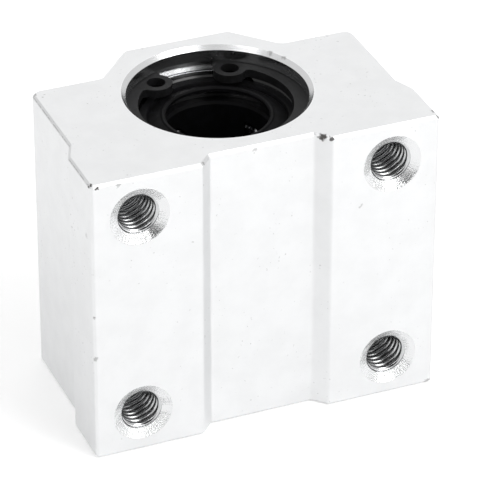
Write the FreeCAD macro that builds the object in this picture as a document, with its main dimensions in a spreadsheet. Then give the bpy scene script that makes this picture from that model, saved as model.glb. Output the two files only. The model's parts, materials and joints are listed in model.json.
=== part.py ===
import FreeCAD, Part

import math
import os

import Sketcher

# A closed linear bearing block for a 12 mm shaft, in millimetres.
# Z runs along the shaft and the origin lies on the shaft's axis, half way along the block.
# The mounting face looks towards -Y, and the ridge over the bore towards +Y.

DRIVING_SIZES = [
    # housing, the extruded outline as seen along the bore
    ("block_width", 42.0),
    ("block_length", 36.0),
    ("axis_height", 15.0),
    ("ridge_wall", 2.5),
    ("shoulder_drop", 5.2),
    ("ridge_foot_width", 22.4),
    ("ridge_top_width", 13.0),
    ("lower_flank_height", 7.1),
    ("upper_flank_height", 9.7),
    ("flank_step", 1.05),
    ("channel_mouth_width", 15.6),
    ("channel_floor_width", 12.6),
    ("channel_depth", 1.6),
    ("shoulder_round", 1.2),
    ("ridge_foot_round", 1.2),
    ("ridge_top_round", 0.8),
    ("flank_round", 0.7),
    ("channel_round", 0.5),
    ("base_round", 0.4),
    ("edge_break", 0.3),
    # housing, what is bored, grooved, drilled and tapped
    ("bushing_fit", 0.01),
    ("bore_chamfer", 0.5),
    ("circlip_groove_depth", 0.5),
    ("circlip_groove_width", 1.1),
    ("bolt_side_margin", 5.75),
    ("bolt_end_margin", 5.0),
    ("thread_diameter", 5.0),
    ("thread_depth", 12.0),
    ("drill_diameter", 4.3),
    ("countersink_diameter", 7.1),
    ("countersink_angle", 120.0),
    # circlips
    ("circlip_thickness", 1.0),
    ("circlip_play", 0.05),
    ("circlip_radial_width", 2.05),
    ("circlip_offset", 0.45),
    ("circlip_gap", 7.0),
    ("ear_inset", 0.05),
    ("ear_angle", 31.0),
    ("ear_diameter", 3.8),
    ("ear_hole_diameter", 2.2),
    ("ear_root_round", 0.6),
    # bushing, its steel sleeve
    ("shaft_diameter", 12.0),
    ("bushing_wall", 4.5),
    ("bushing_recess", 3.0),
    ("outer_groove_depth", 0.5),
    ("outer_groove_width", 1.3),
    ("outer_groove_inset", 3.5),
    ("sleeve_chamfer", 0.4),
    ("mouth_wall", 1.5),
    ("raceway_play", 0.03),
    ("relief_play", 0.08),
    ("relief_wall", 1.23),
    ("relief_overlap", 0.6),
    ("relief_end_room", 0.2),
    # bushing, its balls
    ("circuits", 4),
    ("turn_balls", 2),
    ("ball_diameter", 2.381),
    ("ball_gap", 0.319),
    ("first_circuit_angle", 20.0),
    # bushing, its resin cage
    ("cage_bore_play", 0.2),
    ("cage_play", 0.11),
    ("cage_recess", 2.0),
    ("cage_chamfer", 0.3),
    ("track_play", 0.12),
    ("track_end_wall", 1.5),
    ("slot_width", 2.0),
    # bushing, the snap rings that hold the cage and the wiper seals outside them
    ("snap_ring_width", 2.0),
    ("snap_ring_bite", 0.4),
    ("snap_ring_thickness", 0.75),
    ("snap_ring_gap", 2.5),
    ("end_play", 0.05),
    ("seal_fit", 0.02),
    ("seal_flange_width", 0.8),
    ("seal_flange_recess", 0.35),
    ("seal_dish_depth", 0.75),
    ("seal_web_thickness", 0.5),
    ("lip_width", 0.4),
    ("lip_round", 0.15),
]

# Sizes that follow from the driving ones. The ball track is one loop: two straight rows joined by
# half turns, with a whole number of balls in each. A half turn of turn_balls pitches sets its radius,
# and a row holds as many balls as the cage has room for.
WORKED_SIZES = [
    ("half_length", "=Sizes.block_length / 2"),
    ("shaft_radius", "=Sizes.shaft_diameter / 2"),
    ("bushing_radius", "=shaft_radius + Sizes.bushing_wall"),
    ("half_bushing", "=half_length - Sizes.bushing_recess"),
    ("crest", "=bushing_radius + Sizes.ridge_wall"),
    ("shoulder", "=crest - Sizes.shoulder_drop"),
    ("bore_radius", "=bushing_radius + Sizes.bushing_fit"),
    ("bolt_across", "=Sizes.block_width / 2 - Sizes.bolt_side_margin"),
    ("bolt_along", "=half_length - Sizes.bolt_end_margin"),
    ("circlip_groove_radius", "=bushing_radius + Sizes.circlip_groove_depth"),
    ("circlip_groove_end", "=half_bushing + Sizes.circlip_groove_width"),
    ("circlip_seat", "=half_bushing + Sizes.circlip_play"),
    ("circlip_inner_radius", "=circlip_groove_radius - Sizes.circlip_radial_width"),
    ("ear_pitch_radius", "=circlip_inner_radius - Sizes.ear_inset"),
    ("ball_radius", "=Sizes.ball_diameter / 2"),
    ("ball_pitch", "=Sizes.ball_diameter + Sizes.ball_gap"),
    ("load_row_radius", "=shaft_radius + ball_radius"),
    ("return_row_radius", "=bushing_radius - Sizes.relief_wall - Sizes.relief_play - ball_radius"),
    ("raceway_radius", "=shaft_radius + Sizes.ball_diameter + Sizes.raceway_play"),
    ("relief_radius", "=bushing_radius - Sizes.relief_wall"),
    ("cage_bore_radius", "=shaft_radius + Sizes.cage_bore_play"),
    ("cage_radius", "=raceway_radius - Sizes.cage_play"),
    ("half_cage", "=half_bushing - Sizes.cage_recess"),
    ("turn_radius", "=Sizes.turn_balls * ball_pitch / pi"),
    ("track_radius", "=ball_radius + Sizes.track_play"),
    ("row_room", "=2 * (half_cage - Sizes.track_end_wall - turn_radius - ball_radius)"),
    ("row_balls", "=trunc(row_room / ball_pitch)"),
    ("half_row", "=row_balls * ball_pitch / 2"),
    ("relief_start", "=half_row - Sizes.relief_overlap"),
    ("relief_end", "=half_row + turn_radius + ball_radius + Sizes.relief_end_room"),
    (
        "row_angle",
        "=acos((load_row_radius ^ 2 + return_row_radius ^ 2 - 4 * turn_radius ^ 2)"
        " / (2 * load_row_radius * return_row_radius)) / 1 deg",
    ),
    (
        "turn_yaw",
        "=atan2(return_row_radius * sin(row_angle);"
        " return_row_radius * cos(row_angle) - load_row_radius) / 1 deg",
    ),
    # how far the load row stands from the foot of the plane through both rows, and that plane's height
    (
        "load_across",
        "=(return_row_radius ^ 2 - load_row_radius ^ 2 - 4 * turn_radius ^ 2) / (4 * turn_radius)",
    ),
    ("row_height", "=sqrt(load_row_radius ^ 2 - load_across ^ 2)"),
    ("track_floor", "=row_height - track_radius"),
    ("ledge_height", "=row_height - sqrt(track_radius ^ 2 - Sizes.slot_width ^ 2 / 4)"),
    ("snap_ring_start", "=half_cage + Sizes.end_play"),
    ("snap_ring_end", "=snap_ring_start + Sizes.snap_ring_thickness"),
    ("snap_groove_end", "=snap_ring_end + Sizes.end_play"),
    ("seal_radius", "=bushing_radius - Sizes.mouth_wall"),
    ("snap_groove_radius", "=seal_radius + Sizes.snap_ring_bite"),
    ("snap_ring_inner_radius", "=snap_groove_radius - Sizes.snap_ring_width"),
]

ORIGIN_POINT = (-1, 1)
NEAR = 1e-4

doc = FreeCAD.newDocument("linear_bearing_block")


def fill_sheet(name, cells):
    """One row a size: its name in column A, and its value, with that name as alias, in column B."""
    sheet = doc.addObject("Spreadsheet::Sheet", name)
    for row, (alias, content) in enumerate(cells, start=1):
        sheet.set(f"A{row}", alias)
        sheet.set(f"B{row}", str(content))
        sheet.setAlias(f"B{row}", alias)
    doc.recompute()
    return sheet


sizes = fill_sheet("Sizes", DRIVING_SIZES)
worked = fill_sheet("Worked", WORKED_SIZES)

CIRCUITS = int(sizes.get("circuits"))
ROW_BALLS = int(worked.get("row_balls"))
TURN_BALLS = int(sizes.get("turn_balls"))


def new_body(label):
    body = doc.addObject("PartDesign::Body", label)
    body.Label = label
    return body


def new_sketch(body, name, role, offset=None):
    """A sketch on one of the body's own origin planes, moved along that plane's normal by offset."""
    sketch = body.newObject("Sketcher::SketchObject", f"{body.Name}_{name}")
    plane = [feature for feature in body.Origin.OriginFeatures if feature.Role == role][0]
    sketch.AttachmentSupport = [(plane, "")]
    sketch.MapMode = "FlatFace"
    if offset:
        sketch.setExpression("AttachmentOffset.Base.z", offset)
    return sketch


def tie_point(sketch, geometry, point, across, up):
    """Tie a sketch point to formulas for its distances from the origin. None keeps it on the Y axis."""
    if across is None:
        # -2 is how a sketch numbers its own upright axis
        sketch.addConstraint(Sketcher.Constraint("PointOnObject", geometry, point, -2))
    else:
        number = sketch.addConstraint(Sketcher.Constraint("DistanceX", *ORIGIN_POINT, geometry, point, 1.0))
        sketch.setExpression(f"Constraints[{number}]", across)
    number = sketch.addConstraint(Sketcher.Constraint("DistanceY", *ORIGIN_POINT, geometry, point, 1.0))
    sketch.setExpression(f"Constraints[{number}]", up)


def draw_outline(sketch, corners):
    """A closed outline of straight lines. It is drawn as a rough polygon, and its ties pull it to size."""
    count = len(corners)
    rough = [
        FreeCAD.Vector(math.cos(math.tau * i / count), math.sin(math.tau * i / count), 0)
        for i in range(count)
    ]
    for i in range(count):
        sketch.addGeometry(Part.LineSegment(rough[i], rough[(i + 1) % count]), False)
    for i in range(count):
        sketch.addConstraint(Sketcher.Constraint("Coincident", i, 2, (i + 1) % count, 1))
    for i, (across, up) in enumerate(corners):
        tie_point(sketch, i, 1, across, up)


def draw_circle(sketch, across, up, radius):
    up_axis = FreeCAD.Vector(0, 0, 1)
    circle = sketch.addGeometry(Part.Circle(FreeCAD.Vector(1, 1, 0), up_axis, 1.0), False)
    number = sketch.addConstraint(Sketcher.Constraint("Radius", circle, 1.0))
    sketch.setExpression(f"Constraints[{number}]", radius)
    tie_point(sketch, circle, 3, across, up)


def pad(body, sketch, length, symmetric=False):
    feature = body.newObject("PartDesign::Pad", f"{sketch.Name}_pad")
    feature.Profile = sketch
    feature.setExpression("Length", length)
    if symmetric:
        feature.SideType = "Symmetric"
    sketch.Visibility = False
    return feature


def pocket(body, sketch, length=None):
    """Cut to a length along the sketch's own side, or right through both ways."""
    feature = body.newObject("PartDesign::Pocket", f"{sketch.Name}_pocket")
    feature.Profile = sketch
    if length:
        feature.setExpression("Length", length)
    else:
        feature.Type = "ThroughAll"
        feature.SideType = "Symmetric"
    return feature


def turned(body, sketch, kind):
    """A full turn of a half section about the sketch's upright axis, added or cut away."""
    feature = body.newObject(f"PartDesign::{kind}", f"{sketch.Name}_turned")
    feature.Profile = sketch
    feature.ReferenceAxis = (sketch, ["V_Axis"])
    feature.Angle = 360
    return feature


def edges_over(shape, sketch, corners):
    """The upright edges that stand over the named corners of the outline in sketch."""
    found = []
    for corner in corners:
        point = sketch.Geometry[corner].StartPoint
        for number, edge in enumerate(shape.Edges, start=1):
            ends = [vertex.Point for vertex in edge.Vertexes]
            if all(math.hypot(end.x - point.x, end.y - point.y) < NEAR for end in ends):
                found.append(f"Edge{number}")
    return found


def dress(body, kind, base, edges, size_name, formula):
    feature = body.newObject(f"PartDesign::{kind}", f"{base.Name}_{size_name}")
    feature.Base = (base, edges)
    feature.setExpression("Size" if kind == "Chamfer" else "Radius", formula)
    doc.recompute()
    return feature


def make_housing():
    """One extrusion: two pads with a channel between them, stepped flanks, shoulders and a ridge."""
    body = new_body("housing")
    outline = new_sketch(body, "outline", "XY_Plane")
    base = "-Sizes.axis_height"
    channel_floor = "Sizes.channel_depth - Sizes.axis_height"
    flank = "Sizes.block_width / 2 - Sizes.flank_step"
    right_side = {
        "channel floor": ("Sizes.channel_floor_width / 2", channel_floor),
        "channel mouth": ("Sizes.channel_mouth_width / 2", base),
        "base": ("Sizes.block_width / 2", base),
        "lower flank": ("Sizes.block_width / 2", "Sizes.lower_flank_height - Sizes.axis_height"),
        "upper flank": (flank, "Sizes.upper_flank_height - Sizes.axis_height"),
        "shoulder": (flank, "Worked.shoulder"),
        "ridge foot": ("Sizes.ridge_foot_width / 2", "Worked.shoulder"),
        "ridge top": ("Sizes.ridge_top_width / 2", "Worked.crest"),
    }
    left_side = [(f"-({across})", up) for across, up in reversed(right_side.values())]
    corners = [*right_side.values(), *left_side]
    draw_outline(outline, corners)
    bar = pad(body, outline, "Sizes.block_length", symmetric=True)
    doc.recompute()

    rounds = {
        "channel_round": ("channel floor", "channel mouth"),
        "base_round": ("base",),
        "flank_round": ("lower flank", "upper flank"),
        "shoulder_round": ("shoulder",),
        "ridge_foot_round": ("ridge foot",),
        "ridge_top_round": ("ridge top",),
    }
    for size_name, names in rounds.items():
        right = [list(right_side).index(name) for name in names]
        left = [len(corners) - 1 - corner for corner in right]
        edges = edges_over(bar.Shape, outline, right + left)
        bar = dress(body, "Fillet", bar, edges, size_name, f"Sizes.{size_name}")

    # both sawn ends have their outline broken all the way round
    rims = [
        f"Edge{number}"
        for number, edge in enumerate(bar.Shape.Edges, start=1)
        if edge.BoundBox.ZLength < NEAR
    ]
    dress(body, "Chamfer", bar, rims, "edge_break", "Sizes.edge_break")

    bore = new_sketch(body, "bore", "XZ_Plane")
    upper_wall = [
        ("Worked.bore_radius", "Worked.half_bushing"),
        ("Worked.circlip_groove_radius", "Worked.half_bushing"),
        ("Worked.circlip_groove_radius", "Worked.circlip_groove_end"),
        ("Worked.bore_radius", "Worked.circlip_groove_end"),
        ("Worked.bore_radius", "Worked.half_length - Sizes.bore_chamfer"),
        ("Worked.bore_radius + Sizes.bore_chamfer", "Worked.half_length"),
        (None, "Worked.half_length"),
    ]
    lower_wall = [(across, f"-({up})") for across, up in reversed(upper_wall)]
    draw_outline(bore, upper_wall + lower_wall)
    turned(body, bore, "Groove")

    # four holes: tapped from the mounting face, drilled on through to the shoulders
    for name, diameter, depth in (
        ("drilling", "Sizes.drill_diameter", None),
        ("tapping", "Sizes.thread_diameter", "Sizes.thread_depth"),
    ):
        holes = new_sketch(body, name, "XZ_Plane", "Sizes.axis_height")
        for side in ("", "-"):
            for end in ("", "-"):
                across = f"{side}Worked.bolt_across"
                draw_circle(holes, across, f"{end}Worked.bolt_along", f"{diameter} / 2")
        cut = pocket(body, holes, depth)
    doc.recompute()
    mouths = [
        f"Edge{number}"
        for number, edge in enumerate(cut.Shape.Edges, start=1)
        if isinstance(edge.Curve, Part.Circle)
        and abs(edge.Curve.Radius - sizes.get("thread_diameter") / 2) < NEAR
        and abs(edge.Curve.Center.y + sizes.get("axis_height")) < NEAR
    ]
    sink = "(Sizes.countersink_diameter - Sizes.thread_diameter) / 2"
    countersink = dress(body, "Chamfer", cut, mouths, "countersink", sink)
    countersink.ChamferType = "Two distances"
    countersink.setExpression("Size2", f"{sink} / tan(Sizes.countersink_angle / 2)")
    return body


def make_circlip(label):
    """An internal circlip: an eccentric ring in its groove, open at +Y, with an eared hole each side."""
    body = new_body(label)
    ring = new_sketch(body, "ring", "XY_Plane", "Worked.circlip_seat")
    draw_circle(ring, None, "0", "Worked.circlip_groove_radius - Sizes.circlip_play")
    pad(body, ring, "Sizes.circlip_thickness")

    inside = new_sketch(body, "inside", "XY_Plane", "Worked.circlip_seat")
    draw_circle(inside, None, "Sizes.circlip_offset", "Worked.circlip_inner_radius")
    pocket(body, inside)

    gap = new_sketch(body, "gap", "XY_Plane", "Worked.circlip_seat")
    half_gap = "Sizes.circlip_gap / 2"
    past_ring = "Worked.circlip_groove_radius"
    draw_outline(
        gap,
        [(half_gap, "0"), (half_gap, past_ring), (f"-{half_gap}", past_ring), (f"-{half_gap}", "0")],
    )
    pocket(body, gap)

    ears = new_sketch(body, "ears", "XY_Plane", "Worked.circlip_seat")
    eyes = new_sketch(body, "eyes", "XY_Plane", "Worked.circlip_seat")
    for side in ("", "-"):
        across = f"{side}Worked.ear_pitch_radius * sin(Sizes.ear_angle)"
        up = "Worked.ear_pitch_radius * cos(Sizes.ear_angle)"
        draw_circle(ears, across, up, "Sizes.ear_diameter / 2")
        draw_circle(eyes, across, up, "Sizes.ear_hole_diameter / 2")
    lobes = pad(body, ears, "Sizes.circlip_thickness")
    doc.recompute()
    roots = ear_roots(lobes.Shape)
    dress(body, "Fillet", lobes, roots, "ear_root_round", "Sizes.ear_root_round")
    pocket(body, eyes)
    return body


def ear_roots(shape):
    """The upright edges where an ear's round side meets the ring's inner wall."""
    ring_radius = worked.get("circlip_inner_radius")
    offset = sizes.get("circlip_offset")
    found = []
    for number, edge in enumerate(shape.Edges, start=1):
        ends = [vertex.Point for vertex in edge.Vertexes]
        upright = len(ends) == 2 and math.hypot(ends[0].x - ends[1].x, ends[0].y - ends[1].y) < NEAR
        if not upright:
            continue
        on_inner_wall = abs(math.hypot(ends[0].x, ends[0].y - offset) - ring_radius) < NEAR
        if on_inner_wall and abs(ends[0].x) > sizes.get("circlip_gap") / 2 + NEAR:
            found.append(f"Edge{number}")
    return found


def make_sleeve():
    """The ground steel sleeve: two outer ring grooves, raceway, turn reliefs and a seat at each end."""
    body = new_body("bearing_sleeve")
    section = new_sketch(body, "section", "XZ_Plane")
    outside = "Worked.bushing_radius"
    groove = "Worked.bushing_radius - Sizes.outer_groove_depth"
    groove_far = "Worked.half_bushing - Sizes.outer_groove_inset"
    groove_near = f"{groove_far} - Sizes.outer_groove_width"
    upper_outside = [
        (outside, groove_near),
        (groove, groove_near),
        (groove, groove_far),
        (outside, groove_far),
        (outside, "Worked.half_bushing - Sizes.sleeve_chamfer"),
        (f"{outside} - Sizes.sleeve_chamfer", "Worked.half_bushing"),
    ]
    upper_inside = [
        ("Worked.seal_radius + Sizes.sleeve_chamfer / 2", "Worked.half_bushing"),
        ("Worked.seal_radius", "Worked.half_bushing - Sizes.sleeve_chamfer / 2"),
        ("Worked.seal_radius", "Worked.snap_groove_end"),
        ("Worked.snap_groove_radius", "Worked.snap_groove_end"),
        ("Worked.snap_groove_radius", "Worked.half_cage"),
        ("Worked.raceway_radius", "Worked.half_cage"),
        ("Worked.raceway_radius", "Worked.relief_end"),
        ("Worked.relief_radius", "Worked.relief_end"),
        ("Worked.relief_radius", "Worked.relief_start"),
        ("Worked.raceway_radius", "Worked.relief_start"),
    ]
    upper = upper_outside + upper_inside
    lower = [(across, f"-({up})") for across, up in reversed(upper)]
    draw_outline(section, upper + lower)
    turned(body, section, "Revolution")

    # one broached channel for each row of returning balls
    channels = new_sketch(body, "channels", "XY_Plane")
    for circuit in range(CIRCUITS):
        across, up = row_place(circuit, "return")
        draw_circle(channels, across, up, "Worked.ball_radius + Sizes.relief_play")
    pocket(body, channels)
    return body


def row_place(circuit, row):
    """Formulas for where a row of balls stands, seen along the shaft."""
    angle = f"(Sizes.first_circuit_angle + {circuit} * 360 / Sizes.circuits)"
    radius = "Worked.load_row_radius"
    if row == "return":
        angle = f"({angle} + Worked.row_angle)"
        radius = "Worked.return_row_radius"
    return f"{radius} * cos({angle})", f"{radius} * sin({angle})"


def place(thing, across, up, height):
    thing.setExpression("Placement.Base.x", across)
    thing.setExpression("Placement.Base.y", up)
    thing.setExpression("Placement.Base.z", height)
    thing.Visibility = False


def draw_obround(sketch, centre, radius):
    """A closed track outline: two upright lines as long as a row, joined by half circles of one radius."""
    half_row = worked.get("half_row")
    middle = -(worked.get("load_across") + worked.get("turn_radius"))
    rough = worked.get("turn_radius")
    left, right = middle - rough, middle + rough
    up_axis = FreeCAD.Vector(0, 0, 1)
    sides = [
        sketch.addGeometry(
            Part.LineSegment(FreeCAD.Vector(x, -rise, 0), FreeCAD.Vector(x, rise, 0)), False
        )
        for x, rise in ((right, half_row), (left, -half_row))
    ]
    ends = [
        sketch.addGeometry(
            Part.ArcOfCircle(
                Part.Circle(FreeCAD.Vector(middle, y, 0), up_axis, rough), start, start + math.pi
            ),
            False,
        )
        for y, start in ((half_row, 0.0), (-half_row, math.pi))
    ]
    for before, after in (
        (sides[0], ends[0]),
        (ends[0], sides[1]),
        (sides[1], ends[1]),
        (ends[1], sides[0]),
    ):
        sketch.addConstraint(Sketcher.Constraint("Tangent", before, 2, after, 1))
    tie_point(sketch, ends[0], 3, centre, "Worked.half_row")
    tie_point(sketch, ends[1], 3, centre, "-Worked.half_row")
    sketch.addConstraint(Sketcher.Constraint("Equal", *ends))
    number = sketch.addConstraint(Sketcher.Constraint("Radius", ends[0], rough))
    sketch.setExpression(f"Constraints[{number}]", radius)


def cut_tracks(body, name, half_width, height):
    """Cut the closed track of each circuit outwards from a height over the shaft's axis."""
    track = new_sketch(body, name, "XZ_Plane")
    facing = "(Sizes.first_circuit_angle + Worked.turn_yaw - 90)"
    outwards = f"create(<<vector>>; {height} * cos({facing}); 0; -({height}) * sin({facing}))"
    turn = f"create(<<rotation>>; 0; {facing} - 90; 0)"
    track.setExpression("AttachmentOffset", f"create(<<placement>>; {outwards}; {turn})")
    centre = "-(Worked.load_across + Worked.turn_radius)"
    draw_obround(track, centre, f"Worked.turn_radius + {half_width}")
    draw_obround(track, centre, f"Worked.turn_radius - {half_width}")
    cut = pocket(body, track, "Worked.cage_radius")
    around = body.newObject("PartDesign::PolarPattern", f"{track.Name}_around")
    around.Originals = [cut]
    axis = [feature for feature in body.Origin.OriginFeatures if feature.Role == "Z_Axis"][0]
    around.Axis = (axis, [""])
    around.Angle = 360
    around.setExpression("Occurrences", "Sizes.circuits")
    body.Tip = around


def make_cage():
    """The moulded cage: a tube between shaft and raceway, with a closed ball track for each circuit.
    Each track is a wide channel over a narrower slot, whose ledges keep the balls from falling in."""
    body = new_body("ball_cage")
    section = new_sketch(body, "section", "XZ_Plane")
    bore = "Worked.cage_bore_radius"
    upper = [
        (bore, "Worked.half_cage - Sizes.cage_chamfer"),
        (f"{bore} + Sizes.cage_chamfer", "Worked.half_cage"),
        ("Worked.cage_radius - Sizes.cage_chamfer", "Worked.half_cage"),
        ("Worked.cage_radius", "Worked.half_cage - Sizes.cage_chamfer"),
    ]
    lower = [(across, f"-({up})") for across, up in reversed(upper)]
    draw_outline(section, upper + lower)
    turned(body, section, "Revolution")
    cut_tracks(body, "channel", "Worked.track_radius", "Worked.ledge_height")
    cut_tracks(body, "slot", "Sizes.slot_width / 2", "Worked.track_floor")
    return body


def make_ball(name, across, up, height):
    ball = doc.addObject("Part::Sphere", name)
    ball.setExpression("Radius", "Worked.ball_radius")
    place(ball, across, up, height)
    return ball


def ball_group(label, balls):
    group = doc.addObject("Part::Compound", label)
    group.Label = label
    group.Links = balls
    return group


def make_row(circuit, row):
    """One straight row, spaced by the pitch about the middle of the bushing."""
    label = f"{row}_row_{circuit + 1}"
    balls = []
    for i in range(ROW_BALLS):
        height = f"({i} - (Worked.row_balls - 1) / 2) * Worked.ball_pitch"
        balls.append(make_ball(f"{label}_ball_{i + 1}", *row_place(circuit, row), height))
    return ball_group(label, balls)


def make_turn(circuit, end):
    """The balls in one half turn. Each lies on the half circle from the load row to the return row."""
    label = f"{end}_turn_{circuit + 1}"
    sign = "" if end == "top" else "-"
    load = row_place(circuit, "load")
    back = row_place(circuit, "return")
    balls = []
    for i in range(TURN_BALLS):
        angle = f"(180 * ({i} + 0.5) / Sizes.turn_balls)"
        across, up = (
            f"{near} * (1 + cos({angle})) / 2 + {far} * (1 - cos({angle})) / 2"
            for near, far in zip(load, back)
        )
        height = f"{sign}(Worked.half_row + Worked.turn_radius * sin({angle}))"
        balls.append(make_ball(f"{label}_ball_{i + 1}", across, up, height))
    return ball_group(label, balls)


def make_snap_ring(label):
    """A split ring in the sleeve's inner groove, over the end of the cage."""
    body = new_body(label)
    ring = new_sketch(body, "ring", "XY_Plane", "Worked.snap_ring_start")
    draw_circle(ring, None, "0", "Worked.snap_groove_radius - Sizes.seal_fit")
    draw_circle(ring, None, "0", "Worked.snap_ring_inner_radius")
    pad(body, ring, "Sizes.snap_ring_thickness")
    gap = new_sketch(body, "gap", "XY_Plane", "Worked.snap_ring_start")
    half_gap = "Sizes.snap_ring_gap / 2"
    past_ring = "-Worked.snap_groove_radius"
    draw_outline(
        gap,
        [(half_gap, "0"), (f"-{half_gap}", "0"), (f"-{half_gap}", past_ring), (half_gap, past_ring)],
    )
    pocket(body, gap)
    return body


def make_seal(label):
    """A rubber wiper: a flange in the sleeve's mouth, and a dished web that rises to a soft inner lip."""
    body = new_body(label)
    section = new_sketch(body, "section", "XZ_Plane")
    outside = "Worked.seal_radius - Sizes.seal_fit"
    flange_inside = f"{outside} - Sizes.seal_flange_width"
    lip = "Worked.shaft_radius"
    under = "Worked.snap_groove_end"
    flange_top = "Worked.half_bushing - Sizes.seal_flange_recess"
    dish = "Worked.half_bushing - Sizes.seal_dish_depth"
    lip_top = "Worked.half_bushing"
    draw_outline(
        section,
        [
            (outside, under),
            (outside, flange_top),
            (flange_inside, flange_top),
            (f"{flange_inside} - Sizes.lip_round", dish),
            (f"{lip} + Sizes.lip_width + Sizes.lip_round", f"{lip_top} - Sizes.lip_round"),
            (f"{lip} + Sizes.lip_width", lip_top),
            (f"{lip} + Sizes.lip_round", lip_top),
            (lip, f"{lip_top} - Sizes.lip_round"),
            (lip, f"{lip_top} - Sizes.seal_web_thickness"),
            (f"{lip} + Sizes.lip_width", f"{lip_top} - Sizes.seal_web_thickness - Sizes.lip_round"),
            (f"{flange_inside} - Sizes.seal_web_thickness", under),
        ],
    )
    turned(body, section, "Revolution")
    return body


def flip_end(body):
    """Turn a piece made for the top end about Y, so that it serves the bottom end."""
    half_turn = FreeCAD.Rotation(FreeCAD.Vector(0, 1, 0), 180)
    body.Placement = FreeCAD.Placement(FreeCAD.Vector(0, 0, 0), half_turn)
    return body


def make_all():
    nodes = [make_housing(), make_sleeve(), make_cage()]
    for make_end_piece, name in (
        (make_circlip, "circlip"),
        (make_snap_ring, "snap_ring"),
        (make_seal, "seal"),
    ):
        nodes.append(make_end_piece(f"{name}_top"))
        nodes.append(flip_end(make_end_piece(f"{name}_bottom")))
    for circuit in range(CIRCUITS):
        nodes += [make_row(circuit, "load"), make_row(circuit, "return")]
        nodes += [make_turn(circuit, "top"), make_turn(circuit, "bottom")]
    doc.recompute()
    return nodes


def check_and_write(nodes):
    failed = [
        thing.Name for thing in doc.Objects if "Invalid" in thing.State or "Error" in thing.State
    ]
    if failed:
        raise RuntimeError(f"these objects failed: {', '.join(failed)}")
    for node in nodes:
        if node.Shape.isNull() or not node.Shape.isValid():
            raise RuntimeError(f"{node.Label} has no valid shape")
    os.makedirs("parts", exist_ok=True)
    for node in nodes:
        node.Shape.exportStep(f"parts/{node.Label}.step")
        solids = len(node.Shape.Solids)
        print(f"{node.Label}: {solids} solids, {node.Shape.Volume:.2f} mm3")


check_and_write(make_all())
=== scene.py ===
import json
import math

import bpy
import numpy as np
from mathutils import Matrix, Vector


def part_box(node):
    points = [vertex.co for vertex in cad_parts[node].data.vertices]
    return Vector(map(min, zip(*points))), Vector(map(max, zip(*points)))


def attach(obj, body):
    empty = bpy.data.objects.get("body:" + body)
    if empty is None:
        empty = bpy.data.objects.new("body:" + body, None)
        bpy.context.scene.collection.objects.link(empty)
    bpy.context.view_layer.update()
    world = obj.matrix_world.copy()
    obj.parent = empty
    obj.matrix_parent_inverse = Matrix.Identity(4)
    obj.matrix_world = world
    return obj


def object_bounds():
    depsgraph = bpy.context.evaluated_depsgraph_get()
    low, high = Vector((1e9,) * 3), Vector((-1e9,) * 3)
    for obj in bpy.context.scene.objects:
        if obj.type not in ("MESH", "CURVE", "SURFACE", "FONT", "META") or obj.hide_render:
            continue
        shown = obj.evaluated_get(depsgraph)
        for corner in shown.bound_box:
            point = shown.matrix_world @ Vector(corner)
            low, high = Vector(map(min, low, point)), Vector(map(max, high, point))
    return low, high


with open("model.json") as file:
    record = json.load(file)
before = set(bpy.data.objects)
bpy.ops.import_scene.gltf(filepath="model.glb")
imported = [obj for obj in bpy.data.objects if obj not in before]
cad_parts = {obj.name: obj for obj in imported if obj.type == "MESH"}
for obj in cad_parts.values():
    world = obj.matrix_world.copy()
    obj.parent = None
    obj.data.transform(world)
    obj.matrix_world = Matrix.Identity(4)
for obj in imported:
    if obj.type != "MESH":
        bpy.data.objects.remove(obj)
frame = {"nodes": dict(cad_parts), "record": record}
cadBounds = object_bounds()
millimetre = 0.001
mounts = {mount["name"]: mount for mount in frame["record"]["mounts"]}
print("frame loaded")


def startMaterial(name):
    material = bpy.data.materials.new(name)
    material.use_nodes = True
    tree = material.node_tree
    tree.nodes.clear()
    output = tree.nodes.new("ShaderNodeOutputMaterial")
    surface = tree.nodes.new("ShaderNodeBsdfPrincipled")
    tree.links.new(surface.outputs["BSDF"], output.inputs["Surface"])
    return material, tree, surface


def feed(tree, socket, value):  # a socket is wired in, anything else is set
    if isinstance(value, bpy.types.NodeSocket):
        tree.links.new(value, socket)
    else:
        socket.default_value = value


def calc(tree, operation, *values):
    node = tree.nodes.new("ShaderNodeMath")
    node.operation = operation
    for socket, value in zip(node.inputs, values):
        feed(tree, socket, value)
    return node.outputs[0]


def product(tree, first, *others):
    for other in others:
        first = calc(tree, "MULTIPLY", first, other)
    return first


def distance(tree, across, along):  # from the origin of a plane
    squares = [calc(tree, "MULTIPLY", part, part) for part in (across, along)]
    return calc(tree, "SQRT", calc(tree, "ADD", *squares))


def vectorCalc(tree, operation, *values):
    node = tree.nodes.new("ShaderNodeVectorMath")
    node.operation = operation
    for socket, value in zip(node.inputs, values):
        feed(tree, socket, value)
    return node.outputs


def placeInMillimetres(tree):  # object coordinates, so the finish stays put on the part
    coordinates = tree.nodes.new("ShaderNodeTexCoord")
    scaled = tree.nodes.new("ShaderNodeVectorMath")
    scaled.operation = "SCALE"
    scaled.inputs["Scale"].default_value = 1 / millimetre
    tree.links.new(coordinates.outputs["Object"], scaled.inputs[0])
    split = tree.nodes.new("ShaderNodeSeparateXYZ")
    tree.links.new(scaled.outputs[0], split.inputs[0])
    return scaled.outputs[0], split.outputs


def stretched(tree, values, scales):  # a vector of three values, each times its own scale
    node = tree.nodes.new("ShaderNodeCombineXYZ")
    for socket, value, scale in zip(node.inputs, values, scales):
        feed(tree, socket, calc(tree, "MULTIPLY", value, scale) if scale else 0.0)
    return node.outputs[0]


def noise(tree, vector, scale, detail=2.0, roughness=0.5, output="Fac"):
    node = tree.nodes.new("ShaderNodeTexNoise")
    feed(tree, node.inputs["Vector"], vector)
    node.inputs["Scale"].default_value = scale
    node.inputs["Detail"].default_value = detail
    node.inputs["Roughness"].default_value = roughness
    return node.outputs[output]


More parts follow.
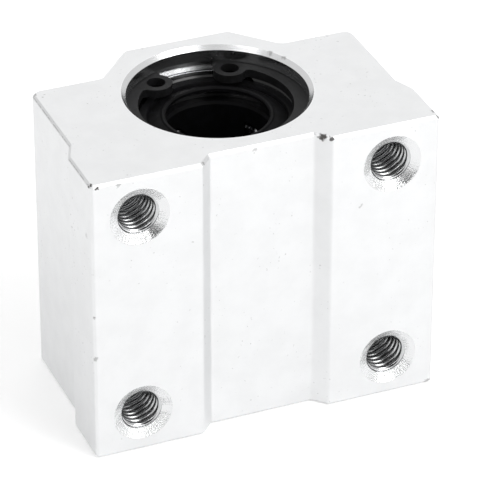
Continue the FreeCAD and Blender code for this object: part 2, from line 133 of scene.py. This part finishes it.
def ramp(tree, value, low, high, start=0.0, end=1.0):  # a smooth step from start to end
    node = tree.nodes.new("ShaderNodeMapRange")
    node.interpolation_type = "SMOOTHSTEP"
    for name, number in (("From Min", low), ("From Max", high), ("To Min", start), ("To Max", end)):
        feed(tree, node.inputs[name], number)
    feed(tree, node.inputs["Value"], value)
    return node.outputs[0]


def within(tree, value, edge):  # 1 below the edge's two values, 0 above them
    return ramp(tree, value, *edge, 1.0, 0.0)


def blend(tree, factor, first, second):  # two colours
    node = tree.nodes.new("ShaderNodeMix")
    node.data_type = "RGBA"
    feed(tree, node.inputs["Factor"], factor)
    for socket, colour in zip([s for s in node.inputs if s.type == "RGBA"], (first, second)):
        feed(tree, socket, colour if isinstance(colour, bpy.types.NodeSocket) else (*colour, 1.0))
    return next(socket for socket in node.outputs if socket.type == "RGBA")


def blendValue(tree, factor, first, second):  # two numbers
    node = tree.nodes.new("ShaderNodeMix")
    node.data_type = "FLOAT"
    feed(tree, node.inputs["Factor"], factor)
    numbers = [s for s in node.inputs if s.type == "VALUE" and s.name in "AB"]
    for socket, value in zip(numbers, (first, second)):
        feed(tree, socket, value)
    return node.outputs["Result"]


def raised(tree, surface, height, depthMm):  # a height of 1 stands that many millimetres out
    node = tree.nodes.new("ShaderNodeBump")
    node.inputs["Distance"].default_value = depthMm * millimetre
    feed(tree, node.inputs["Height"], height)
    tree.links.new(node.outputs["Normal"], surface.inputs["Normal"])


def gridPiece(name, rings, material):  # closed tube: each ring is one section, ends are capped
    count, size = rings.shape[:2]
    index = np.arange(count * size).reshape(count, size)
    turned = np.roll(index, -1, axis=1)
    sides = np.stack([index[:-1], index[1:], turned[1:], turned[:-1]], axis=-1).reshape(-1, 4)
    faces = sides.tolist() + [index[0].tolist(), index[-1][::-1].tolist()]
    mesh = bpy.data.meshes.new(name)
    mesh.from_pydata(rings.reshape(-1, 3).tolist(), [], faces)
    mesh.polygons.foreach_set("use_smooth", np.ones(len(faces), dtype=bool))
    mesh.materials.append(material)
    piece = bpy.data.objects.new(name, mesh)
    bpy.context.scene.collection.objects.link(piece)
    return piece


mottleRange = (0.3, 0.7)  # the share of a noise that a mottle and a grain run over
grainRange = (0.2, 0.8)

alloy = {
    "colour": (0.745, 0.750, 0.755),
    "mottled": 0.965,  # what is left of the colour where the mottle is darkest
    "mottleScale": 0.35,
    # the colour of stains, also of the painted shade between the threads
    "stainAndShade": (0.10, 0.095, 0.09),
    "extrudedRoughness": 0.44,
    "sawnRoughness": 0.38,
    "boredRoughness": 0.22,
    "grainRoughness": 0.12,
    "stainRoughness": 0.3,
    "lineDepthMm": 0.004,
    "dieLines": (5.0, 5.0, 0.05),  # how close in x, y and z
    "sawSlant": (0.35, 0.94),
    "sawLines": (6.0, 0.15, 0.0),  # how close across and along the cut
    "boreLines": 14.0,
    "boreLineHeight": 0.5,
    "grainScale": 5.0,
    "grainHeight": 0.35,
    "endRimMm": (0.03, 0.01),  # how far in from a sawn end its finish starts and is full
    # how dark the painted shade between the threads is
    "rootShade": 0.6,
}

# chatter in the countersinks: bands that fan out round the hole, broken by noise
chatter = {
    "height": 40.0,  # how many times the height of the lines elsewhere
    "quiet": 0.30,  # what is left of it between its patches
    "fan": 46.0,
    "fanShare": 0.08,
    "steady": 0.7,
    "noise": (11.0, 6.0, 0.0),  # how close round the hole and away from it
    "noiseScale": 1.6,
    "patchScale": 0.30,
    "patch": (0.45, 0.58),
}

specks = {  # the peaks of a fine noise, gathered where a coarse one is high
    "scale": 2.6,
    "peak": (0.70, 0.76),
    "gatherScale": 0.22,
    "gather": (0.45, 0.62),
    "share": 0.30,
}

# where one cut meets the next, in millimetres, each as a start and an end
edges = {
    "countersink": (3.52, 3.58),  # radii about a screw hole
    "drill": (2.17, 2.20),
    "threadWall": (2.50, 2.54),
    "threadFoot": (2.22, 2.42),
    "threadEnd": (-3.0, -2.9),  # y, from the mounting side
    # y where the painted shade in the screw holes sets in
    "rootShade": (-14.1, -13.2),
    "bore": (11.04, 11.10),  # radius about the shaft
}

burr = {  # the edge along the left side of the top end, in millimetres
    "stepFrom": (-7.9, -20.94),  # y and x where the side's step starts
    "stepTo": (-5.3, -19.89),
    "width": (0.03, 0.07),
    "depth": (0.30, 0.20),
    "slopeStart": (-8.1, -7.8),
    "slopeEnd": (-5.6, -5.3),
    "strength": 0.45,
    "slopeFade": 0.4,
    "breakScale": 0.55,
    "breaks": (0.42, 0.54, 0.05, 0.9),
}

nickShake = {"reach": 1.1, "scale": 2.4, "core": 0.45}
# places in millimetres where the edges are nicked or smudged, with a radius and a strength
nicks = [
    ((-20.9, -14.4, 18.0), 0.40, 0.9),
    ((-20.2, -15.0, 17.7), 0.30, 0.9),
    ((-17.7, -15.0, 17.6), 0.35, 0.4),
    ((6.9, -14.1, 17.9), 0.70, 0.95),
    ((7.7, -14.9, 17.9), 0.40, 0.85),
    ((-7.3, -14.6, 18.0), 0.42, 0.55),
    ((-0.9, -13.4, 17.6), 0.40, 0.3),
    ((20.9, -13.6, 18.0), 0.52, 0.7),
    ((20.9, -15.0, 17.9), 0.40, 0.7),
    ((8.9, 5.9, 18.0), 0.55, 0.5),
    ((9.9, 4.3, 18.0), 0.45, 0.5),
    ((-9.5, -5.2, 18.0), 0.40, 0.4),
    ((-21.0, -7.6, 11.5), 0.50, 0.2),
    ((-21.0, -13.4, 11.0), 0.45, 0.2),
    ((-19.6, 6.9, 18.0), 0.28, 0.5),
    ((-20.9, -15.0, 1.0), 0.30, 0.5),
    ((-20.9, -15.0, -4.4), 0.45, 0.4),
    ((11.4, -15.0, 8.4), 0.30, 0.3),
    ((20.6, -15.0, -17.8), 0.50, 0.4),
]


def aboutHole(tree, x, z):
    # distance and angle about the nearest screw hole, whose side the signs of x and z give
    dims = mounts["mounting_holes"]["dims"]
    offsets = []
    for value, spacing in ((x, dims["spacing_x_mm"]), (z, dims["spacing_y_mm"])):
        centre = calc(tree, "MULTIPLY", calc(tree, "SIGN", value), spacing / 2)
        offsets.append(calc(tree, "SUBTRACT", value, centre))
    across, along = offsets
    return distance(tree, across, along), calc(tree, "ARCTAN2", along, across)


def chatterHeight(tree, point, holeRadius, holeAngle):
    fan = calc(tree, "SINE", calc(tree, "MULTIPLY", holeAngle, chatter["fan"]))
    fan = calc(tree, "ADD", calc(tree, "MULTIPLY", fan, chatter["fanShare"]), chatter["steady"])
    roundHole = stretched(tree, (holeAngle, holeRadius, 0.0), chatter["noise"])
    patch = noise(tree, point, chatter["patchScale"], 1.0)
    patch = ramp(tree, patch, *chatter["patch"], chatter["quiet"], 1.0)
    broken = noise(tree, roundHole, chatter["noiseScale"])
    return product(tree, fan, broken, patch, chatter["height"])


def sawHeight(tree, x, y):  # saw lines cross the ends on a slant
    least, most = alloy["sawSlant"]
    across = calc(tree, "ADD", product(tree, x, least), product(tree, y, most))
    along = calc(tree, "SUBTRACT", product(tree, x, most), product(tree, y, least))
    return noise(tree, stretched(tree, (across, along, 0.0), alloy["sawLines"]), 1.0)


def speckStain(tree, point):
    peaks = ramp(tree, noise(tree, point, specks["scale"], 1.0), *specks["peak"])
    gathered = ramp(tree, noise(tree, point, specks["gatherScale"], 1.0), *specks["gather"])
    return product(tree, peaks, gathered, specks["share"])


def withNicks(tree, point, stainAndShade):  # dark spots with shaken edges
    shake = noise(tree, point, nickShake["scale"], 3.0, output="Color")
    shaken = vectorCalc(tree, "MULTIPLY_ADD", shake, (nickShake["reach"],) * 3, point)["Vector"]
    for centre, radius, strength in nicks:
        middle = [value + nickShake["reach"] / 2 for value in centre]
        away = vectorCalc(tree, "DISTANCE", shaken, middle)["Value"]
        spot = ramp(tree, away, radius * nickShake["core"], radius, strength, 0.0)
        stainAndShade = calc(tree, "MAXIMUM", stainAndShade, spot)
    return stainAndShade


def burrStain(tree, x, y, z, halfLength):  # a broken dark line of saw burr
    (stepY, stepX), (endY, endX) = burr["stepFrom"], burr["stepTo"]
    flank = ramp(tree, y, stepY, endY, stepX, endX)
    offEdge = calc(tree, "ABSOLUTE", calc(tree, "SUBTRACT", x, flank))
    top = ramp(tree, z, *[halfLength - depth for depth in burr["depth"]])
    line = product(tree, within(tree, offEdge, burr["width"]), top)
    lengthwise = stretched(tree, (0.0, y, 0.0), (0.0, 1.0, 0.0))
    broken = ramp(tree, noise(tree, lengthwise, burr["breakScale"], 3.0, 0.75), *burr["breaks"])
    slope = product(tree, ramp(tree, y, *burr["slopeStart"]), within(tree, y, burr["slopeEnd"]))
    faded = calc(tree, "SUBTRACT", burr["strength"], product(tree, slope, burr["slopeFade"]))
    return product(tree, line, product(tree, broken, faded))


def housingFinish():
    material, tree, surface = startMaterial("housingAlloy")
    point, (x, y, z) = placeInMillimetres(tree)
    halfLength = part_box("housing")[1][2] / millimetre
    holeRadius, holeAngle = aboutHole(tree, x, z)
    # the countersinks and threads are on the mounting side, plain drilling beyond them
    countersunk = within(tree, holeRadius, edges["countersink"])
    tapped = product(tree, countersunk, within(tree, y, edges["threadEnd"]))
    inHole = calc(tree, "MAXIMUM", tapped, within(tree, holeRadius, edges["drill"]))
    inBore = within(tree, distance(tree, x, y), edges["bore"])
    cut = calc(tree, "MAXIMUM", inHole, inBore)
    rim = [halfLength - inwards for inwards in alloy["endRimMm"]]
    onEnd = ramp(tree, calc(tree, "ABSOLUTE", z), *rim)

    # die lines run the length of the extrusion
    dieLines = noise(tree, stretched(tree, (x, y, z), alloy["dieLines"]), 1.0, 3.0, 0.6)
    lines = blendValue(tree, onEnd, dieLines, sawHeight(tree, x, y))
    bands = calc(tree, "SINE", calc(tree, "MULTIPLY", z, alloy["boreLines"]))
    bands = product(tree, calc(tree, "ADD", bands, 1.0), 0.5, alloy["boreLineHeight"])
    lines = blendValue(tree, inBore, lines, bands)
    lines = blendValue(tree, inHole, lines, chatterHeight(tree, point, holeRadius, holeAngle))
    grain = noise(tree, point, alloy["grainScale"], 3.0, 0.65)
    height = calc(tree, "ADD", lines, calc(tree, "MULTIPLY", grain, alloy["grainHeight"]))
    raised(tree, surface, height, alloy["lineDepthMm"])

    stainAndShade = withNicks(tree, point, speckStain(tree, point))
    stainAndShade = calc(tree, "MAXIMUM", stainAndShade, burrStain(tree, x, y, z, halfLength))
    # painted shade darkens the wall between the threads, deeper in the holes
    wall = within(tree, holeRadius, edges["threadWall"])
    wall = product(tree, wall, ramp(tree, y, *edges["rootShade"]))
    # the stains and the painted shade in the threads share one mask
    stainAndShade = calc(tree, "MAXIMUM", stainAndShade, product(tree, tapped, wall, alloy["rootShade"]))

    mottle = ramp(tree, noise(tree, point, alloy["mottleScale"], 3.0, 0.6), *mottleRange)
    mottled = [channel * alloy["mottled"] for channel in alloy["colour"]]
    clean = blend(tree, mottle, alloy["colour"], mottled)
    feed(tree, surface.inputs["Base Color"], blend(tree, stainAndShade, clean, alloy["stainAndShade"]))
    roughness = blendValue(tree, onEnd, alloy["extrudedRoughness"], alloy["sawnRoughness"])
    roughness = blendValue(tree, cut, roughness, alloy["boredRoughness"])
    grainy = product(tree, calc(tree, "SUBTRACT", grain, 0.5), alloy["grainRoughness"])
    roughness = calc(tree, "ADD", roughness, grainy)
    stained = product(tree, stainAndShade, alloy["stainRoughness"])
    feed(tree, surface.inputs["Roughness"], calc(tree, "ADD", roughness, stained))
    surface.inputs["Metallic"].default_value = 1.0
    return material


# each finish: two colours mixed by a mottle, how rough, metallic and glossy, its grain and rings
finishes = {
    "threadAlloy": {
        "colours": ((0.57, 0.575, 0.58), (0.50, 0.505, 0.51)),
        "roughness": 0.15, "metallic": 1.0, "specular": 0.5,
        "mottleScale": 1.5, "grainScale": 14.0, "grainDepthMm": 0.005,
        # painted shade at the thread's foot
        "footShadeColour": (0.11, 0.11, 0.11),
    },
    "bearingSteel": {
        "colours": ((0.56, 0.56, 0.57), (0.50, 0.50, 0.51)),
        "roughness": 0.17, "metallic": 1.0, "specular": 0.5,
        "mottleScale": 0.6, "grainScale": 20.0, "grainDepthMm": 0.001, "ringPitchMm": 0.11,
        # ends painted near-black: painted shade in the recess under the circlip
        "node": "bearing_sleeve", "endShadeColour": (0.03, 0.03, 0.03), "endShadeReachMm": (0.25, 0.20),
    },
    "ringSteel": {
        "colours": ((0.012, 0.012, 0.013), (0.007, 0.007, 0.007)),
        "roughness": 0.46, "metallic": 0.0, "specular": 0.14,
        "mottleScale": 1.1, "grainScale": 11.0, "grainDepthMm": 0.006,
    },
    "cageResin": {
        "colours": ((0.005, 0.005, 0.006), (0.003, 0.003, 0.003)),
        "roughness": 0.50, "metallic": 0.0, "specular": 0.05,
        "mottleScale": 0.8, "grainScale": 9.0, "grainDepthMm": 0.004,
    },
    "sealRubber": {
        "colours": ((0.006, 0.006, 0.007), (0.003, 0.003, 0.003)),
        "roughness": 0.50, "metallic": 0.0, "specular": 0.06,
        "mottleScale": 1.0, "grainScale": 12.0, "grainDepthMm": 0.005, "ringPitchMm": 0.45,
    },
    "ballSteel": {
        "colours": ((0.30, 0.30, 0.31), (0.25, 0.25, 0.26)),
        "roughness": 0.22, "metallic": 1.0, "specular": 0.5,
        "mottleScale": 0.9, "grainScale": 18.0, "grainDepthMm": 0.0004,
    },
}
ringHeight = 0.5
roughnessSpread = (0.85, 1.2)  # times a finish's own, between its finest and coarsest grain


def turnedFinish(name):
    spec = finishes[name]
    material, tree, surface = startMaterial(name)
    point, (x, y, z) = placeInMillimetres(tree)
    grain = noise(tree, point, spec["grainScale"], 3.0, 0.6)
    height = grain
    if "ringPitchMm" in spec:  # rings round the shaft: a sine of distance from the axis plus z
        along = calc(tree, "ADD", distance(tree, x, y), z)
        turn = calc(tree, "SINE", calc(tree, "MULTIPLY", along, math.tau / spec["ringPitchMm"]))
        height = calc(tree, "ADD", height, calc(tree, "MULTIPLY", turn, ringHeight))
    raised(tree, surface, height, spec["grainDepthMm"])
    mottle = ramp(tree, noise(tree, point, spec["mottleScale"], 3.0, 0.6), *mottleRange)
    colour = blend(tree, mottle, *spec["colours"])
    if "endShadeColour" in spec:  # the ends are painted near-black: painted shade for the recess under the circlip
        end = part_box(spec["node"])[1][2] / millimetre
        reach = [end - inwards for inwards in spec["endShadeReachMm"]]
        onEnd = ramp(tree, calc(tree, "ABSOLUTE", z), *reach)
        colour = blend(tree, onEnd, colour, spec["endShadeColour"])
    if "footShadeColour" in spec:  # the thread's foot is painted dark deeper in the hole: painted shade
        holeRadius, _ = aboutHole(tree, x, z)
        foot = ramp(tree, holeRadius, *edges["threadFoot"])
        shadedFoot = calc(tree, "MULTIPLY", foot, ramp(tree, y, *edges["rootShade"]))
        colour = blend(tree, shadedFoot, colour, spec["footShadeColour"])
    feed(tree, surface.inputs["Base Color"], colour)
    spread = [spec["roughness"] * share for share in roughnessSpread]
    feed(tree, surface.inputs["Roughness"], ramp(tree, grain, *grainRange, *spread))
    surface.inputs["Metallic"].default_value = spec["metallic"]
    surface.inputs["Specular IOR Level"].default_value = spec["specular"]
    return material


slotFinishes = {
    "housing_alloy": housingFinish(),
    "bearing_steel": turnedFinish("bearingSteel"),
    "ring_steel": turnedFinish("ringSteel"),
    "cage_resin": turnedFinish("cageResin"),
    "seal_rubber": turnedFinish("sealRubber"),
    "ball_steel": turnedFinish("ballSteel"),
}
threadFinish = turnedFinish("threadAlloy")

for subpart in frame["record"]["subparts"]:
    node = frame["nodes"][subpart["node"]]
    for index in range(len(node.material_slots)):
        node.material_slots[index].material = slotFinishes[subpart["material_slot"]]
print("finishes on")


thread = {
    "pitch": 0.8 * millimetre,
    "crestRadius": mounts["through_holes"]["dims"]["hole_r_mm"] * millimetre,  # the tapping drill's
    "flankAngle": math.radians(30),
    "flankPoint": 0.45,  # how high up the flank its middle point is
    "crestFlat": 0.8,  # the flat share of the crest, whose rims drop a little
    "crestDrop": 0.02,
    "rootFlat": 0.1 * millimetre,  # what is left bare between two turns
    "start": 0.1 * millimetre,  # how deep the middle of the ridge starts
    "startAngle": math.radians(70),
    "depth": 12.0 * millimetre,
    "countersinkRadius": 3.55 * millimetre,
    "countersinkSlope": math.tan(math.radians(60)),  # how fast its cone narrows
    "bury": 0.04 * millimetre,  # how far its foot is sunk in the wall
    "stepsPerTurn": 72,
}


def threadPiece(name, across, along, wallRadius, mouth):
    # one ridge wound right-handed into the hole: angle grows clockwise, depth by a pitch a turn
    slope = math.tan(thread["flankAngle"])
    tall = wallRadius - thread["crestRadius"]
    foot = (thread["pitch"] - thread["rootFlat"]) / 2
    crest = foot - tall * slope
    up = thread["flankPoint"]
    flank = np.array([
        (foot + thread["bury"] * slope, wallRadius + thread["bury"]),
        (foot * (1 - up) + crest * up, wallRadius - tall * up),
        (crest, thread["crestRadius"] + tall * thread["crestDrop"]),
        (crest * thread["crestFlat"], thread["crestRadius"]),
    ])
    section = np.concatenate([flank * (-1, 1), flank[::-1]])
    run = thread["depth"] - foot - thread["start"]
    steps = int(run / thread["pitch"] * thread["stepsPerTurn"])
    turn = np.linspace(0, run / thread["pitch"], steps)[:, None]
    angle = turn * math.tau + thread["startAngle"]
    depth = thread["start"] + turn * thread["pitch"] + section[None, :, 0]
    depth = np.maximum(depth, thread["bury"])
    radius = np.broadcast_to(section[None, :, 1], depth.shape)
    # the countersink's cone trims the first turns: no point is nearer the axis than it
    cone = thread["countersinkRadius"] - depth * thread["countersinkSlope"]
    radius = np.maximum(radius, cone + thread["bury"])
    x = across + radius * np.sin(angle)
    z = along + radius * np.cos(angle)
    piece = gridPiece(name, np.stack([x, mouth + depth, z], axis=-1), threadFinish)
    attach(piece, "block")
    return piece


holes = mounts["mounting_holes"]["dims"]
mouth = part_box("housing")[0][1]
for number, (side, end) in enumerate([(-1, 1), (1, 1), (-1, -1), (1, -1)], start=1):
    threadPiece(
        f"thread_{number}",
        side * holes["spacing_x_mm"] / 2 * millimetre,
        end * holes["spacing_y_mm"] / 2 * millimetre,
        holes["hole_r_mm"] * millimetre,
        mouth,
    )
print("threads cut")


studio = {
    "floorHalf": 1.5,
    "paper": ((0.93, 0.93, 0.93), (0.97, 0.97, 0.97)),
    "fibreScale": 0.8,
    "worldStrength": 0.83,
    "floorGlow": 0.18,
    "boreShade": (12.0, 13.0),  # millimetres from the axis between which the glow comes in
    "card": ((0.01, 0.01, 0.01), (0.02, 0.02, 0.02)),
    "cardScale": 0.05,
    "cardRadius": 0.20,
    "cardCorners": 64,
    "cardBehindCamera": 0.03,
    "matt": 0.9,
}

lights = {  # place, size and power in metres and watts; all look at the part
    "overhead": ((0.28, -0.33, 0.50), (0.30, 0.30), 1.35),
    "leftTop": ((-0.40, -0.22, 0.45), (0.30, 0.30), 0.6),
    "frontKey": ((0.25, -0.68, 0.23), (0.20, 0.20), 0.5),
    "frontFill": ((0.28, -0.75, 0.05), (0.50, 0.20), 1.1),
    "backFill": ((0.30, 0.70, 0.45), (0.60, 0.50), 0.42),
}

cameraPlace = {
    "azimuth": math.radians(-22.24),
    "elevation": math.radians(31.44),
    "distance": 0.4178,
    "target": (0.00249, 0.0, -0.0023),
    "lens": 267.3,
    "sensor": 36.0,
    "shift": (0.0048, -0.0048),
    "clipStart": 0.01,
}


def towards(obj, target):  # turns an object's -Z to the target
    obj.rotation_euler = (obj.location - Vector(target)).to_track_quat("Z", "Y").to_euler()


def stagePiece(name, corners, material):  # one flat face of the studio
    mesh = bpy.data.meshes.new(name)
    mesh.from_pydata(corners, [], [list(range(len(corners)))])
    mesh.materials.append(material)
    piece = bpy.data.objects.new(name, mesh)
    bpy.context.scene.collection.objects.link(piece)
    return piece


floorMaterial, floorTree, floorSurface = startMaterial("palePaper")
floorPoint, (floorX, floorY, _) = placeInMillimetres(floorTree)
fibre = noise(floorTree, floorPoint, studio["fibreScale"], 4.0, 0.6)
feed(floorTree, floorSurface.inputs["Base Color"], blend(floorTree, fibre, *studio["paper"]))
floorSurface.inputs["Roughness"].default_value = studio["matt"]
# the paper glows a little, as over a light table, but not under the bore
away = distance(floorTree, floorX, floorY)
glow = ramp(floorTree, away, *studio["boreShade"], 0.0, studio["floorGlow"])
floorSurface.inputs["Emission Color"].default_value = (1, 1, 1, 1)
feed(floorTree, floorSurface.inputs["Emission Strength"], glow)

ground = cadBounds[0][2]
half = studio["floorHalf"]
floorCorners = [(half * x, half * y, ground) for x, y in ((-1, -1), (1, -1), (1, 1), (-1, 1))]
floor = stagePiece("floor", floorCorners, floorMaterial)

for name, (place, size, power) in lights.items():
    lamp = bpy.data.lights.new(name, "AREA")
    lamp.shape = "RECTANGLE"
    lamp.size, lamp.size_y = size
    lamp.energy = power
    holder = bpy.data.objects.new(name, lamp)
    holder.location = place
    bpy.context.scene.collection.objects.link(holder)
    towards(holder, (0, 0, 0))

world = bpy.data.worlds.new("studio")
world.use_nodes = True
background = world.node_tree.nodes["Background"]
background.inputs["Color"].default_value = (1, 1, 1, 1)
background.inputs["Strength"].default_value = studio["worldStrength"]
bpy.context.scene.world = world

azimuth = cameraPlace["azimuth"]
elevation = cameraPlace["elevation"]
back = Vector((
    math.sin(azimuth) * math.cos(elevation),
    -math.cos(azimuth) * math.cos(elevation),
    math.sin(elevation),
))
lens = bpy.data.cameras.new("camera")
lens.lens = cameraPlace["lens"]
lens.sensor_width = cameraPlace["sensor"]
lens.shift_x, lens.shift_y = cameraPlace["shift"]
lens.clip_start = cameraPlace["clipStart"]
camera = bpy.data.objects.new("camera", lens)
camera.location = Vector(cameraPlace["target"]) + back * cameraPlace["distance"]
bpy.context.scene.collection.objects.link(camera)
towards(camera, cameraPlace["target"])
bpy.context.scene.camera = camera

# the dark of the room behind the camera, which polished hollows mirror
cardMaterial, cardTree, cardSurface = startMaterial("darkCard")
cardPoint, _ = placeInMillimetres(cardTree)
cardMottle = noise(cardTree, cardPoint, studio["cardScale"])
feed(cardTree, cardSurface.inputs["Base Color"], blend(cardTree, cardMottle, *studio["card"]))
cardSurface.inputs["Roughness"].default_value = studio["matt"]
cardAngles = np.linspace(0, math.tau, studio["cardCorners"], endpoint=False)
cardRing = np.stack([np.cos(cardAngles), np.sin(cardAngles), 0 * cardAngles], axis=-1)
card = stagePiece("dark_card", cardRing.tolist(), cardMaterial)
card.scale = (studio["cardRadius"],) * 3
behind = cameraPlace["distance"] + studio["cardBehindCamera"]
card.location = Vector(cameraPlace["target"]) + back * behind
towards(card, cameraPlace["target"])
card.visible_camera = False  # it is only there to be mirrored

bpy.context.scene.view_settings.view_transform = "Standard"
print("stage set")
